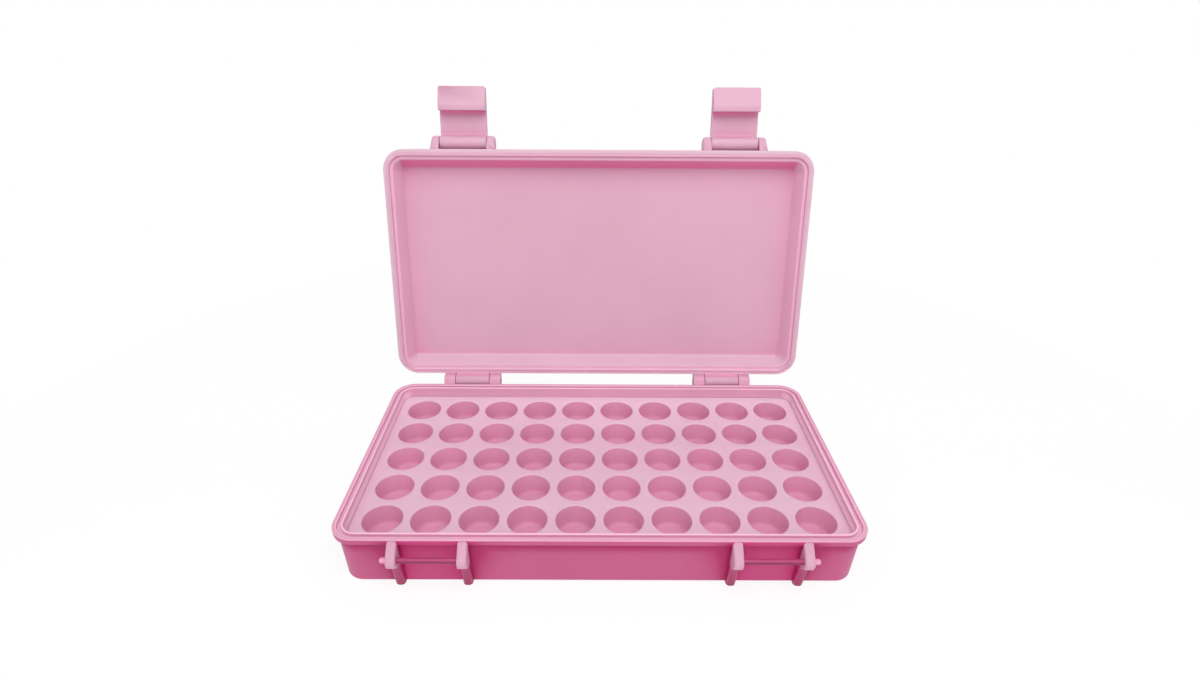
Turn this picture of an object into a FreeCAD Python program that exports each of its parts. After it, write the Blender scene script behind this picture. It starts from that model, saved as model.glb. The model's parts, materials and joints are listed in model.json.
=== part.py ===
"""Bobbin box: a moulded tub with a drop-in tray of wells, a hinged lid and two swing latches.

Frame: millimetres, +Z up, +X along the long side, +Y to the hinges, origin at the centre of the underside.
The lid and its latches are drawn shut and then turned about their pins to the open pose.
"""
import FreeCAD
import Part
import math
import os
import Sketcher
from FreeCAD import Placement, Rotation, Vector

doc = FreeCAD.newDocument("bobbin_box")

# Driving dimensions, in millimetres and degrees
SIZES = {
    # the grid of wells, each a loose fit on a 20.3 mm bobbin
    "columns": 10,
    "rows": 5,
    "well_pitch": 25.4,
    "well_diameter": 21.2,
    "well_depth": 13.0,
    "edge_margin": 16.2,
    # the tub and its stepped rim
    "base_height": 32.0,
    "wall": 3.2,
    "wall_draft": 0.6,
    "floor_thickness": 2.4,
    "flange_height": 3.5,
    "lip_width": 1.1,
    "groove_width": 2.2,
    "groove_depth": 1.8,
    "ridge_width": 2.2,
    "rim_corner": 13.0,
    "least_corner": 0.6,
    "foot_round": 1.5,
    # the drop-in tray
    "tray_drop": 6.8,
    "tray_plate": 2.0,
    "tray_clearance": 0.3,
    "skirt_wall": 1.6,
    "cup_wall": 1.2,
    # the lid
    "rim_gap": 0.2,
    "lid_height": 12.0,
    "lid_top": 2.4,
    "lid_wall": 2.4,
    "lid_slope": 26.0,
    "lid_inset": 0.5,
    "lid_cove": 3.0,
    "crown_round": 2.5,
    "tongue_clearance": 0.4,
    "tongue_height": 1.5,
    # the rear hinges and the front latches stand at the same distance from the rim's ends
    "station_inset": 50.4,
    "lid_open_angle": 105.6,
    "hinge_offset": 4.8,
    "hinge_pin_diameter": 3.0,
    "knuckle_radius": 4.0,
    "knuckle_length": 7.5,
    "knuckle_gap": 0.3,
    "hinge_width": 38.4,
    "arm_rise": 0.6,
    "gusset_drop": 15.0,
    "stop_clearance": 0.05,
    "heel_start": 0.4,
    "heel_end": 3.4,
    # the latch ears, the catch bars and the latches
    "ear_gap": 30.0,
    "ear_thickness": 5.0,
    "ear_top_drop": 0.5,
    "bar_diameter": 3.0,
    "bar_reach": 4.5,
    "bar_drop": 9.2,
    "bar_end": 3.6,
    "bar_dome": 1.4,
    "bar_socket": 3.0,
    "bar_boss_radius": 4.0,
    "boss_tail": 6.0,
    "rib_head_reach": 3.0,
    "rib_foot_reach": 0.2,
    "rib_round": 2.0,
    "pivot_reach": 4.2,
    "pivot_rise": 7.9,
    "pivot_pin_diameter": 3.0,
    "pivot_boss_radius": 4.3,
    "barrel_radius": 4.3,
    "latch_length": 33.2,
    "latch_open_angle": 90.0,
    "latch_side_clearance": 0.3,
    "hook_clearance": 0.1,
    "hook_reach": 5.5,
    "ledge_thickness": 3.0,
    "tab_thickness": 4.5,
    "tab_corner": 1.4,
    "web_round": 2.0,
    "running_clearance": 0.05,
    "pin_round": 0.4,
}

# Places worked out from the driving dimensions, all written as formulas of the sheet above.
# An offset is how far an outline stands outside the tub's inside outline.
PLACES = {
    "inside_half_width": "well_pitch * (columns - 1) / 2 + edge_margin",
    "inside_half_depth": "well_pitch * (rows - 1) / 2 + edge_margin",
    "rim_offset": "lip_width + groove_width + ridge_width",
    "groove_out": "lip_width + groove_width",
    "inside_corner": "rim_corner - lip_width - groove_width - ridge_width",
    "rim_half_width": "well_pitch * (columns - 1) / 2 + edge_margin + lip_width + groove_width + ridge_width",
    "rim_half_depth": "well_pitch * (rows - 1) / 2 + edge_margin + lip_width + groove_width + ridge_width",
    "no_offset": "0 * wall",
    "ground": "0 * wall",
    # tub
    "flange_under": "base_height - flange_height",
    "wall_foot_offset": "wall - tan(wall_draft) * (base_height - flange_height)",
    "cavity_foot_offset": "-tan(wall_draft) * (base_height - floor_thickness)",
    # tray
    "tray_top": "base_height - tray_drop",
    "tray_under": "base_height - tray_drop - tray_plate",
    "tray_top_offset": "-tan(wall_draft) * tray_drop - tray_clearance",
    "tray_foot_offset": "-tan(wall_draft) * (base_height - floor_thickness) - tray_clearance",
    "skirt_top_offset": "-tan(wall_draft) * (tray_drop + tray_plate) - tray_clearance - skirt_wall",
    "skirt_foot_offset": "-tan(wall_draft) * (base_height - floor_thickness) - tray_clearance - skirt_wall",
    "cup_bottom": "base_height - tray_drop - well_depth - cup_wall",
    "cup_height": "well_depth + cup_wall - tray_plate / 2",
    "cup_diameter": "well_diameter + 2 * cup_wall",
    "first_well_x": "-well_pitch * (columns - 1) / 2",
    "first_well_y": "-well_pitch * (rows - 1) / 2",
    "row_length": "well_pitch * (columns - 1)",
    "column_length": "well_pitch * (rows - 1)",
    # lid, drawn shut
    "lid_rim": "base_height + rim_gap",
    "lid_crown": "base_height + rim_gap + lid_height",
    "lid_ceiling": "base_height + rim_gap + lid_height - lid_top",
    "lid_mouth_offset": "-lid_inset",
    "lid_ceiling_offset": "-lid_inset - tan(lid_slope) * (lid_height - lid_top)",
    "lid_wall_offset": "lid_wall / cos(lid_slope) - lid_inset",
    "lid_crown_offset": "lid_wall / cos(lid_slope) - lid_inset - tan(lid_slope) * lid_height",
    "tongue_in": "lip_width + tongue_clearance",
    "tongue_out": "lip_width + groove_width - tongue_clearance",
    # roots of the ears and knuckles, inside the walls that carry them
    "ridge_middle": "rim_half_depth - ridge_width / 2",
    "flange_middle": "base_height - groove_depth - (flange_height - groove_depth) / 2",
    "wall_root": "inside_half_depth + wall / 4",
    "ear_top": "base_height - ear_top_drop",
    "lid_root_low": "inside_half_depth + lid_wall / cos(lid_slope) / 2",
    "lid_root_top": "lid_root_low - tan(lid_slope) * (lid_height - lid_top)",
    "lid_flange_top": "base_height + rim_gap + flange_height",
    # hinges
    "station": "rim_half_width - station_inset",
    "hinge_y": "rim_half_depth + hinge_offset",
    "hinge_z": "base_height + rim_gap / 2",
    "knuckle_near": "station - hinge_width / 2",
    "knuckle_far": "station + hinge_width / 2 - knuckle_length",
    "gusset_foot": "base_height - gusset_drop",
    "knuckle_bore": "hinge_pin_diameter + 2 * running_clearance",
    "mid_knuckle": "hinge_width - 2 * knuckle_length - 2 * knuckle_gap",
    "mid_start": "station - mid_knuckle / 2",
    "lid_arm_low": "base_height + rim_gap + arm_rise",
    "heel_low_y": "hinge_y + sin(lid_open_angle) * heel_start",
    "heel_low_z": "hinge_z + cos(lid_open_angle) * heel_start",
    "heel_back_y": "hinge_y + sin(lid_open_angle) * heel_end",
    "heel_back_z": "hinge_z + cos(lid_open_angle) * heel_end",
    "heel_rise": "hinge_offset - stop_clearance",
    "heel_front_top_y": "heel_low_y - cos(lid_open_angle) * heel_rise",
    "heel_front_top_z": "heel_low_z + sin(lid_open_angle) * heel_rise",
    "heel_back_top_y": "heel_back_y - cos(lid_open_angle) * heel_rise",
    "heel_back_top_z": "heel_back_z + sin(lid_open_angle) * heel_rise",
    # latch stations
    "bar_y": "rim_half_depth + bar_reach",
    "bar_z": "base_height - bar_drop",
    "boss_foot": "base_height - bar_drop - boss_tail",
    "rib_head": "rim_half_depth + rib_head_reach",
    "rib_foot": "rim_half_depth + rib_foot_reach",
    "pivot_y": "rim_half_depth + pivot_reach",
    "pivot_z": "base_height + rim_gap + pivot_rise",
    "ear_near": "station - ear_gap / 2 - ear_thickness",
    "ear_far": "station + ear_gap / 2",
    "bar_start": "station - ear_gap / 2 - bar_socket",
    "bar_length": "ear_gap + ear_thickness + bar_socket",
    "bar_whole": "ear_gap + ear_thickness + bar_socket + bar_end",
    "latch_width": "ear_gap - 2 * latch_side_clearance",
    "latch_start": "station - latch_width / 2",
    "latch_bore": "pivot_pin_diameter + 2 * running_clearance",
    "barrel_diameter": "2 * barrel_radius",
    "latch_front": "rim_half_depth + pivot_reach + barrel_radius",
    "web_back": "rim_half_depth + bar_reach + bar_diameter / 2 + hook_clearance",
    "ledge_back": "web_back - hook_reach",
    "ledge_top": "base_height - bar_drop - bar_diameter / 2 - hook_clearance",
    "ledge_under": "ledge_top - ledge_thickness",
    "tab_back": "latch_front - tab_thickness",
    "tab_tip": "pivot_z - latch_length",
}


def make_sheet(name, cells):
    """A spreadsheet with one aliased cell for each entry."""
    sheet = doc.addObject("Spreadsheet::Sheet", name)
    for row, (alias, text) in enumerate(cells.items(), start=1):
        sheet.set("A%d" % row, alias)
        sheet.set("B%d" % row, text)
        sheet.setAlias("B%d" % row, alias)
    return sheet


def formula(text):
    """A formula whose names of driving dimensions point at the sheet that holds them."""
    words = text.replace("(", "( ").replace(")", " )").replace("-", "- ").split()
    return "=" + " ".join("Sizes." + word if word in SIZES else word for word in words)


sizes = make_sheet("Sizes", {alias: str(value) for alias, value in SIZES.items()})
doc.recompute()
places = make_sheet("Places", {alias: formula(text) for alias, text in PLACES.items()})
doc.recompute()


def value(name):
    """The number behind a name, with a leading minus for its mirror image."""
    if name.startswith("-"):
        return -value(name[1:])
    return float(getattr(sizes if name in SIZES else places, name))


def bound(name):
    """The expression that ties a property to a named cell."""
    if name.startswith("-"):
        return "-" + bound(name[1:])
    return ("Sizes." if name in SIZES else "Places.") + name


def make_body(label):
    body = doc.addObject("PartDesign::Body", label)
    body.Label = label
    return body


def make_sketch(body, plane, shift):
    """A sketch on one of the body's own origin planes, moved along its normal by a named value."""
    sketch = body.newObject("Sketcher::SketchObject", "Sketch")
    origin_plane = [face for face in body.Origin.OriginFeatures if face.Role == plane][0]
    sketch.AttachmentSupport = [(origin_plane, "")]
    sketch.MapMode = "FlatFace"
    sketch.setExpression("AttachmentOffset.Base.z", bound(shift))
    return sketch


def hold(sketch, geometry, vertex, x_name, y_name):
    """Pin a vertex of the sketch to two named coordinates."""
    for kind, name in (("DistanceX", x_name), ("DistanceY", y_name)):
        index = sketch.addConstraint(Sketcher.Constraint(kind, -1, 1, geometry, vertex, value(name)))
        sketch.setExpression("Constraints[%d]" % index, bound(name))


def size_constraint(sketch, expression, *constraint):
    index = sketch.addConstraint(Sketcher.Constraint(*constraint))
    sketch.setExpression("Constraints[%d]" % index, expression)


def add_ring(sketch, offset):
    """A rounded rectangle that stands outside the tub's inside outline by the named offset.

    Its corners are concentric with the tub's, down to the least radius allowed.
    """
    half_x = value("inside_half_width") + value(offset)
    half_y = value("inside_half_depth") + value(offset)
    radius = max(value("inside_corner") + value(offset), value("least_corner"))
    corners = [(half_x, half_y, 0), (-half_x, half_y, 90), (-half_x, -half_y, 180), (half_x, -half_y, 270)]
    arcs = []
    lines = []
    for x, y, angle in corners:
        centre = Vector(x - radius * (1 if x > 0 else -1), y - radius * (1 if y > 0 else -1), 0)
        circle = Part.Circle(centre, Vector(0, 0, 1), radius)
        turn = Rotation(Vector(0, 0, 1), angle).multVec(Vector(1, 0, 0))
        start = circle.parameter(centre + turn * radius)
        arcs.append(sketch.addGeometry(Part.ArcOfCircle(circle, start, start + math.pi / 2)))
    for number, arc in enumerate(arcs):
        start = sketch.getPoint(arc, 2)
        end = sketch.getPoint(arcs[(number + 1) % 4], 1)
        lines.append(sketch.addGeometry(Part.LineSegment(start, end)))
    for number, line in enumerate(lines):
        sketch.addConstraint(Sketcher.Constraint("Tangent", arcs[number], 2, line, 1))
        sketch.addConstraint(Sketcher.Constraint("Tangent", line, 2, arcs[(number + 1) % 4], 1))
        sketch.addConstraint(Sketcher.Constraint("Horizontal" if number % 2 == 0 else "Vertical", line))
    for arc in arcs[1:]:
        sketch.addConstraint(Sketcher.Constraint("Equal", arcs[0], arc))
    corner = "max(Places.inside_corner + %s; Sizes.least_corner)" % bound(offset)
    size_constraint(sketch, corner, "Radius", arcs[0], radius)
    top, left, bottom, right = lines
    reach_x = "Places.inside_half_width + " + bound(offset)
    reach_y = "Places.inside_half_depth + " + bound(offset)
    size_constraint(sketch, reach_y, "DistanceY", -1, 1, top, 1, half_y)
    size_constraint(sketch, "-(%s)" % reach_y, "DistanceY", -1, 1, bottom, 1, -half_y)
    size_constraint(sketch, reach_x, "DistanceX", -1, 1, right, 1, half_x)
    size_constraint(sketch, "-(%s)" % reach_x, "DistanceX", -1, 1, left, 1, -half_x)


def ring_sketch(body, height, *offsets):
    sketch = make_sketch(body, "XY_Plane", height)
    for offset in offsets:
        add_ring(sketch, offset)
    return sketch


def circle_sketch(body, plane, shift, x_name, y_name, diameter):
    sketch = make_sketch(body, plane, shift)
    circle = Part.Circle(Vector(value(x_name), value(y_name), 0), Vector(0, 0, 1), value(diameter) / 2)
    index = sketch.addGeometry(circle)
    hold(sketch, index, 3, x_name, y_name)
    size_constraint(sketch, bound(diameter), "Diameter", index, value(diameter))
    return sketch


def touch_point(corner, centre, radius, side):
    """Where a line from the corner touches the circle, on its left (side 1) or right (side -1)."""
    away = corner - centre
    cosine = radius / away.Length
    sine = (1 - cosine * cosine) ** 0.5
    across = Vector(-away.y, away.x, 0) * (1 / away.Length)
    return centre + away * (radius * cosine / away.Length) + across * (side * radius * sine)


def outline_sketch(body, shift, *stops):
    """A closed outline on the YZ plane, run counter-clockwise.

    A stop of two names is a corner. A stop of three names is a round boss (y, z, radius) that the lines from
    the corners before and after it touch.
    """
    sketch = make_sketch(body, "YZ_Plane", shift)
    ends = []
    for number, stop in enumerate(stops):
        here = Vector(value(stop[0]), value(stop[1]), 0)
        if len(stop) == 2:
            ends.append((here, here))
            continue
        before = stops[number - 1]
        after = stops[(number + 1) % len(stops)]
        radius = value(stop[2])
        first = touch_point(Vector(value(before[0]), value(before[1]), 0), here, radius, 1)
        last = touch_point(Vector(value(after[0]), value(after[1]), 0), here, radius, -1)
        ends.append((first, last))
    lines = []
    for number in range(len(stops)):
        start = ends[number][1]
        end = ends[(number + 1) % len(stops)][0]
        lines.append(sketch.addGeometry(Part.LineSegment(start, end)))
    for number, stop in enumerate(stops):
        before = lines[number - 1]
        after = lines[number]
        if len(stop) == 2:
            sketch.addConstraint(Sketcher.Constraint("Coincident", before, 2, after, 1))
            hold(sketch, after, 1, *stop)
            continue
        first, last = ends[number]
        circle = Part.Circle(Vector(value(stop[0]), value(stop[1]), 0), Vector(0, 0, 1), value(stop[2]))
        start = circle.parameter(first)
        end = circle.parameter(last)
        arc = sketch.addGeometry(Part.ArcOfCircle(circle, start, end if end > start else end + 2 * math.pi))
        sketch.addConstraint(Sketcher.Constraint("Tangent", before, 2, arc, 1))
        sketch.addConstraint(Sketcher.Constraint("Tangent", arc, 2, after, 1))
        hold(sketch, arc, 3, stop[0], stop[1])
        size_constraint(sketch, bound(stop[2]), "Radius", arc, value(stop[2]))
    return sketch


def pad(body, sketch, length, reverse=False):
    feature = body.newObject("PartDesign::Pad", "Pad")
    feature.Profile = sketch
    feature.setExpression("Length", bound(length))
    feature.Reversed = reverse
    doc.recompute()
    return feature


def pocket(body, sketch, length, reverse=False):
    before = body.Shape.Volume
    feature = body.newObject("PartDesign::Pocket", "Pocket")
    feature.Profile = sketch
    feature.setExpression("Length", bound(length))
    feature.Reversed = reverse
    doc.recompute()
    if not body.Shape.Volume < before:
        raise RuntimeError("%s: a pocket cut nothing" % body.Label)
    return feature


def loft(body, kind, low, high):
    feature = body.newObject("PartDesign::" + kind, "Loft")
    feature.Profile = low
    feature.Sections = [high]
    feature.Ruled = True
    doc.recompute()
    return feature


def edges_at(shape, test):
    """Names of the edges whose every sampled point passes the test."""
    names = []
    for number, edge in enumerate(shape.Edges, start=1):
        if all(test(point) for point in edge.discretize(3)):
            names.append("Edge%d" % number)
    return names


def fillet(body, names, radius):
    rounded = body.Tip
    feature = body.newObject("PartDesign::Fillet", "Fillet")
    feature.Base = (rounded, names)
    feature.setExpression("Radius", bound(radius))
    doc.recompute()
    return feature


near = 0.01
sides = (("left", "-"), ("right", ""))
signs = ("-", "")


def across(body, sketch, length, sign):
    """Pad a YZ sketch away from the middle of the box, to the left or the right."""
    return pad(body, sketch, length, reverse=sign == "-")


def drill(body, shift, y_name, z_name, diameter, length, sign):
    """A round hole along X, run away from the middle of the box."""
    sketch = circle_sketch(body, "YZ_Plane", sign + shift, y_name, z_name, diameter)
    return pocket(body, sketch, length, reverse=sign == "")


def rib_edges(shape, sign):
    """The long front edges of the ribs that run from one side's ears down to the ground."""
    head = Vector(0, -value("rib_head"), value("boss_foot"))
    foot = Vector(0, -value("rib_foot"), 0)

    def on_rib_front(point):
        flat = Vector(0, point.y, point.z)
        return flat.distanceToLine(foot, head - foot) < near and point.x * value(sign + "station") > 0

    names = edges_at(shape, on_rib_front)
    return [name for name in names if shape.getElement(name).BoundBox.XLength < near]


def make_base():
    base = make_body("base_shell")
    foot = ring_sketch(base, "ground", "wall_foot_offset")
    loft(base, "AdditiveLoft", foot, ring_sketch(base, "flange_under", "wall"))
    fillet(base, edges_at(base.Shape, lambda point: abs(point.z) < near), "foot_round")
    pad(base, ring_sketch(base, "flange_under", "rim_offset"), "flange_height")
    floor = ring_sketch(base, "floor_thickness", "cavity_foot_offset")
    loft(base, "SubtractiveLoft", floor, ring_sketch(base, "base_height", "no_offset"))
    pocket(base, ring_sketch(base, "base_height", "lip_width", "groove_out"), "groove_depth")
    for sign in signs:
        for start in ("ear_near", "ear_far"):
            ear = outline_sketch(
                base, sign + start,
                ("-ridge_middle", "ear_top"),
                ("-rim_half_depth", "ear_top"),
                ("-bar_y", "bar_z", "bar_boss_radius"),
                ("-rib_head", "boss_foot"),
                ("-rib_foot", "ground"),
                ("-wall_root", "ground"),
                ("-wall_root", "flange_middle"),
                ("-ridge_middle", "flange_middle"),
            )
            across(base, ear, "ear_thickness", sign)
        fillet(base, rib_edges(base.Shape, sign), "rib_round")
        drill(base, "bar_start", "-bar_y", "bar_z", "bar_diameter", "bar_whole", sign)
        for start in ("knuckle_near", "knuckle_far"):
            knuckle = outline_sketch(
                base, sign + start,
                ("wall_root", "gusset_foot"),
                ("hinge_y", "hinge_z", "knuckle_radius"),
                ("rim_half_depth", "ear_top"),
                ("ridge_middle", "ear_top"),
                ("ridge_middle", "flange_middle"),
                ("wall_root", "flange_middle"),
            )
            across(base, knuckle, "knuckle_length", sign)
            heel = outline_sketch(
                base, sign + start,
                ("heel_low_y", "heel_low_z"),
                ("heel_back_y", "heel_back_z"),
                ("heel_back_top_y", "heel_back_top_z"),
                ("heel_front_top_y", "heel_front_top_z"),
            )
            across(base, heel, "knuckle_length", sign)
        drill(base, "knuckle_near", "hinge_y", "hinge_z", "hinge_pin_diameter", "hinge_width", sign)
    return base


def make_tray():
    tray = make_body("bobbin_tray")
    foot = ring_sketch(tray, "floor_thickness", "tray_foot_offset")
    loft(tray, "AdditiveLoft", foot, ring_sketch(tray, "tray_top", "tray_top_offset"))
    hollow = ring_sketch(tray, "floor_thickness", "skirt_foot_offset")
    loft(tray, "SubtractiveLoft", hollow, ring_sketch(tray, "tray_under", "skirt_top_offset"))
    cup_circle = circle_sketch(tray, "XY_Plane", "cup_bottom", "first_well_x", "first_well_y", "cup_diameter")
    cup = pad(tray, cup_circle, "cup_height")
    well_circle = circle_sketch(tray, "XY_Plane", "tray_top", "first_well_x", "first_well_y", "well_diameter")
    well = pocket(tray, well_circle, "well_depth")
    repeat = tray.newObject("PartDesign::MultiTransform", "Wells")
    repeat.Originals = [cup, well]
    patterns = []
    for axis, length, count in (("X_Axis", "row_length", "columns"), ("Y_Axis", "column_length", "rows")):
        pattern = tray.newObject("PartDesign::LinearPattern", "Pattern")
        line = [feature for feature in tray.Origin.OriginFeatures if feature.Role == axis][0]
        pattern.Direction = (line, [""])
        pattern.setExpression("Length", bound(length))
        pattern.setExpression("Occurrences", bound(count))
        patterns.append(pattern)
    repeat.Transformations = patterns
    tray.Tip = repeat
    doc.recompute()
    return tray


def make_lid():
    lid = make_body("lid_shell")
    top = ring_sketch(lid, "lid_crown", "lid_crown_offset")
    loft(lid, "AdditiveLoft", top, ring_sketch(lid, "lid_rim", "lid_wall_offset"))
    crown = value("lid_crown")
    fillet(lid, edges_at(lid.Shape, lambda point: abs(point.z - crown) < near), "crown_round")
    pad(lid, ring_sketch(lid, "lid_rim", "rim_offset"), "flange_height")
    hollow = ring_sketch(lid, "lid_ceiling", "lid_ceiling_offset")
    loft(lid, "SubtractiveLoft", hollow, ring_sketch(lid, "lid_rim", "lid_mouth_offset"))
    ceiling = value("lid_ceiling")
    fillet(lid, edges_at(lid.Shape, lambda point: abs(point.z - ceiling) < near), "lid_cove")
    pad(lid, ring_sketch(lid, "lid_rim", "tongue_in", "tongue_out"), "tongue_height", reverse=True)
    for sign in signs:
        for start in ("ear_near", "ear_far"):
            ear = outline_sketch(
                lid, sign + start,
                ("-lid_root_low", "lid_rim"),
                ("-lid_root_top", "lid_ceiling"),
                ("-pivot_y", "pivot_z", "pivot_boss_radius"),
                ("-rim_half_depth", "lid_rim"),
            )
            across(lid, ear, "ear_thickness", sign)
        drill(lid, "bar_start", "-pivot_y", "pivot_z", "pivot_pin_diameter", "bar_length", sign)
        knuckle = outline_sketch(
            lid, sign + "mid_start",
            ("lid_root_low", "lid_arm_low"),
            ("rim_half_depth", "lid_arm_low"),
            ("hinge_y", "hinge_z", "knuckle_radius"),
            ("rim_half_depth", "lid_flange_top"),
            ("lid_root_low", "lid_flange_top"),
        )
        across(lid, knuckle, "mid_knuckle", sign)
        drill(lid, "mid_start", "hinge_y", "hinge_z", "knuckle_bore", "mid_knuckle", sign)
    return lid


def make_latch(side, sign):
    latch = make_body("latch_" + side)
    barrel = circle_sketch(latch, "YZ_Plane", sign + "latch_start", "-pivot_y", "pivot_z", "barrel_diameter")
    across(latch, barrel, "latch_width", sign)
    blade = outline_sketch(
        latch, sign + "latch_start",
        ("-latch_front", "pivot_z"),
        ("-latch_front", "tab_tip"),
        ("-tab_back", "tab_tip"),
        ("-ledge_back", "ledge_under"),
        ("-ledge_back", "ledge_top"),
        ("-web_back", "ledge_top"),
        ("-web_back", "pivot_z"),
    )
    across(latch, blade, "latch_width", sign)
    web_line = -value("web_back")
    under_barrel = value("pivot_z") - value("barrel_radius") / 4
    above_ledge = value("ledge_top") + near
    inner_corner = edges_at(
        latch.Shape,
        lambda point: abs(point.y - web_line) < near and above_ledge < point.z < under_barrel,
    )
    along = [name for name in inner_corner if latch.Shape.getElement(name).BoundBox.XLength > near]
    fillet(latch, along, "web_round")
    tip = value("tab_tip")
    middle = value(sign + "station")
    tip_ends = edges_at(
        latch.Shape,
        lambda point: abs(point.z - tip) < near and abs(point.x - middle) > value("latch_width") / 2 - near,
    )
    fillet(latch, tip_ends, "tab_corner")
    drill(latch, "latch_start", "-pivot_y", "pivot_z", "latch_bore", "latch_width", sign)
    return latch


def make_pin(label, shift, y_name, z_name, diameter, length, sign, end_round):
    """A round bar along X with its outer end rounded."""
    bar = make_body(label)
    across(bar, circle_sketch(bar, "YZ_Plane", sign + shift, y_name, z_name, diameter), length, sign)
    far = max(abs(bar.Shape.BoundBox.XMin), abs(bar.Shape.BoundBox.XMax))
    fillet(bar, edges_at(bar.Shape, lambda point: abs(point.x) > far - near), end_round)
    return bar


base_shell = make_base()
bobbin_tray = make_tray()
lid_shell = make_lid()
fixed = [base_shell, bobbin_tray]
on_lid = [lid_shell]
latches = []
for side, sign in sides:
    latches.append(make_latch(side, sign))
    on_lid.append(make_pin("latch_pin_" + side, "bar_start", "-pivot_y", "pivot_z",
                           "pivot_pin_diameter", "bar_length", sign, "pin_round"))
    fixed.append(make_pin("catch_bar_" + side, "bar_start", "-bar_y", "bar_z",
                          "bar_diameter", "bar_whole", sign, "bar_dome"))
    fixed.append(make_pin("hinge_pin_" + side, "knuckle_near", "hinge_y", "hinge_z",
                          "hinge_pin_diameter", "hinge_width", sign, "pin_round"))

# The open pose: the lid turned back on its hinges, and each latch turned out on its pin
along_x = Vector(1, 0, 0)
hinge_axis = Vector(0, value("hinge_y"), value("hinge_z"))
pivot_axis = Vector(0, -value("pivot_y"), value("pivot_z"))
lid_turn = Placement(Vector(0, 0, 0), Rotation(along_x, -value("lid_open_angle")), hinge_axis)
latch_turn = Placement(Vector(0, 0, 0), Rotation(along_x, -value("latch_open_angle")), pivot_axis)
for piece in on_lid:
    piece.Placement = lid_turn
for piece in latches:
    piece.Placement = lid_turn.multiply(latch_turn)
doc.recompute()

for feature in doc.Objects:
    if "Invalid" in feature.State or "Error" in feature.State:
        raise RuntimeError("%s failed: %s" % (feature.Label, feature.State))

os.makedirs("parts", exist_ok=True)
for piece in fixed + on_lid + latches:
    if piece.Shape.isNull() or not piece.Shape.isValid() or len(piece.Shape.Solids) != 1:
        raise RuntimeError("%s is not one sound solid" % piece.Label)
    piece.Shape.exportStep("parts/%s.step" % piece.Label)
    box = piece.Shape.BoundBox
    print("%-16s %9.1f mm3  x %.2f..%.2f  y %.2f..%.2f  z %.2f..%.2f" % (
        piece.Label, piece.Shape.Volume, box.XMin, box.XMax, box.YMin, box.YMax, box.ZMin, box.ZMax))
print("hinge axis", hinge_axis, "pivot axis open", lid_turn.multVec(pivot_axis))
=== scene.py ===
# %% [markdown]
# # A bobbin box, dressed for its photograph
# The box is a small moulded case: a tub with a stepped rim, a drop-in tray of round wells, a shallow lid on
# two hinges and two swing latches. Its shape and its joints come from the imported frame. This script gives
# the pieces soft moulded edges and a satin plastic finish, and sets the light and the camera of the
# photograph.

# %% Load the frame
import json
import math

import bmesh
import bpy
from mathutils import Matrix, Vector


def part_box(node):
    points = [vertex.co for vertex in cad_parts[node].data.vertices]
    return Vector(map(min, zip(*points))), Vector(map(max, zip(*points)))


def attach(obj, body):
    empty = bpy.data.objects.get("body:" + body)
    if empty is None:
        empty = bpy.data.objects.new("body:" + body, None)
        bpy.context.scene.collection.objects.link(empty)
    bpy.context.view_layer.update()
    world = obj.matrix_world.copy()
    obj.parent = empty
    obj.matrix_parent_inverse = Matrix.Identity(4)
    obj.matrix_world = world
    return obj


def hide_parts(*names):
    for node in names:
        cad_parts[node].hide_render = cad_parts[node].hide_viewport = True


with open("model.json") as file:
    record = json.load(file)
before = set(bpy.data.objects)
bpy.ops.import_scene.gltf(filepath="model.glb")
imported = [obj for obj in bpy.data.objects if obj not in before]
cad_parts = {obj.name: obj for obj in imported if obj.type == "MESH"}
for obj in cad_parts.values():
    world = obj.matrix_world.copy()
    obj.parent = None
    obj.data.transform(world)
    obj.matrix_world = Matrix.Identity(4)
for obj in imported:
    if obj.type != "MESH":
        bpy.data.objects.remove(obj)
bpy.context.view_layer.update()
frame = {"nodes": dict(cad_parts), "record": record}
mm = 0.001
nodes = frame["nodes"]
record = frame["record"]

# %% [markdown]
# ## Colours and nodes
# A colour picker shows sRGB hex and a shader needs linear light, so one function turns the first into the
# second. A node tree can be drawn by hand in the editor, but a script can be read, changed and run again, so
# the trees here are written. One small function adds a node. Its inputs are given by name, each as a plain
# value or as the socket that feeds it.

# %% From sRGB hex to linear light


def linear(hex_colour):
    """sRGB hex to the linear RGBA that a shader socket takes."""
    channels = []
    for place in (0, 2, 4):
        value = int(hex_colour[place:place + 2], 16) / 255
        channels.append(value / 12.92 if value <= 0.04045 else ((value + 0.055) / 1.055) ** 2.4)
    return (*channels, 1.0)


print("the grey 808080 in linear light:", round(linear("808080")[0], 3))

# %% A node in one call


def add(tree, kind, inputs=None, **settings):
    """One node with its settings, and its inputs as plain values or as the sockets that feed them."""
    node = tree.nodes.new(kind)
    for name, value in settings.items():
        setattr(node, name, value)
    for name, value in (inputs or {}).items():
        if isinstance(value, bpy.types.NodeSocket):
            tree.links.new(value, node.inputs[name])
        else:
            node.inputs[name].default_value = value
    return node


def blank_material(name):
    """A material with an empty node tree."""
    material = bpy.data.materials.new(name)
    material.use_nodes = True
    material.node_tree.nodes.clear()
    return material, material.node_tree


# %% [markdown]
# ## Satin polypropylene
# The whole box is one kind of plastic: polypropylene, injection moulded against a lightly spark-eroded steel
# tool. That gives the eye a soft, broad sheen with no sharp mirror image and a very fine grain. Its colour
# here also carries painted light and shade: deeper pink is painted into hollows, under overhangs and on
# faces turned from the lamps, and paler pink on faces the lamps reach. A picture wrapped round the box could
# carry that colour, but it would need an unwrapped map for every piece. Here the colour is built up in
# coats, like paint, and masks in the piece's own coordinates say where each coat lies. The grain of the real
# tool is a few hundredths of a millimetre. It is drawn at half a millimetre, so that it shows in the render.

# %% Soft steps and coats of colour


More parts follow.
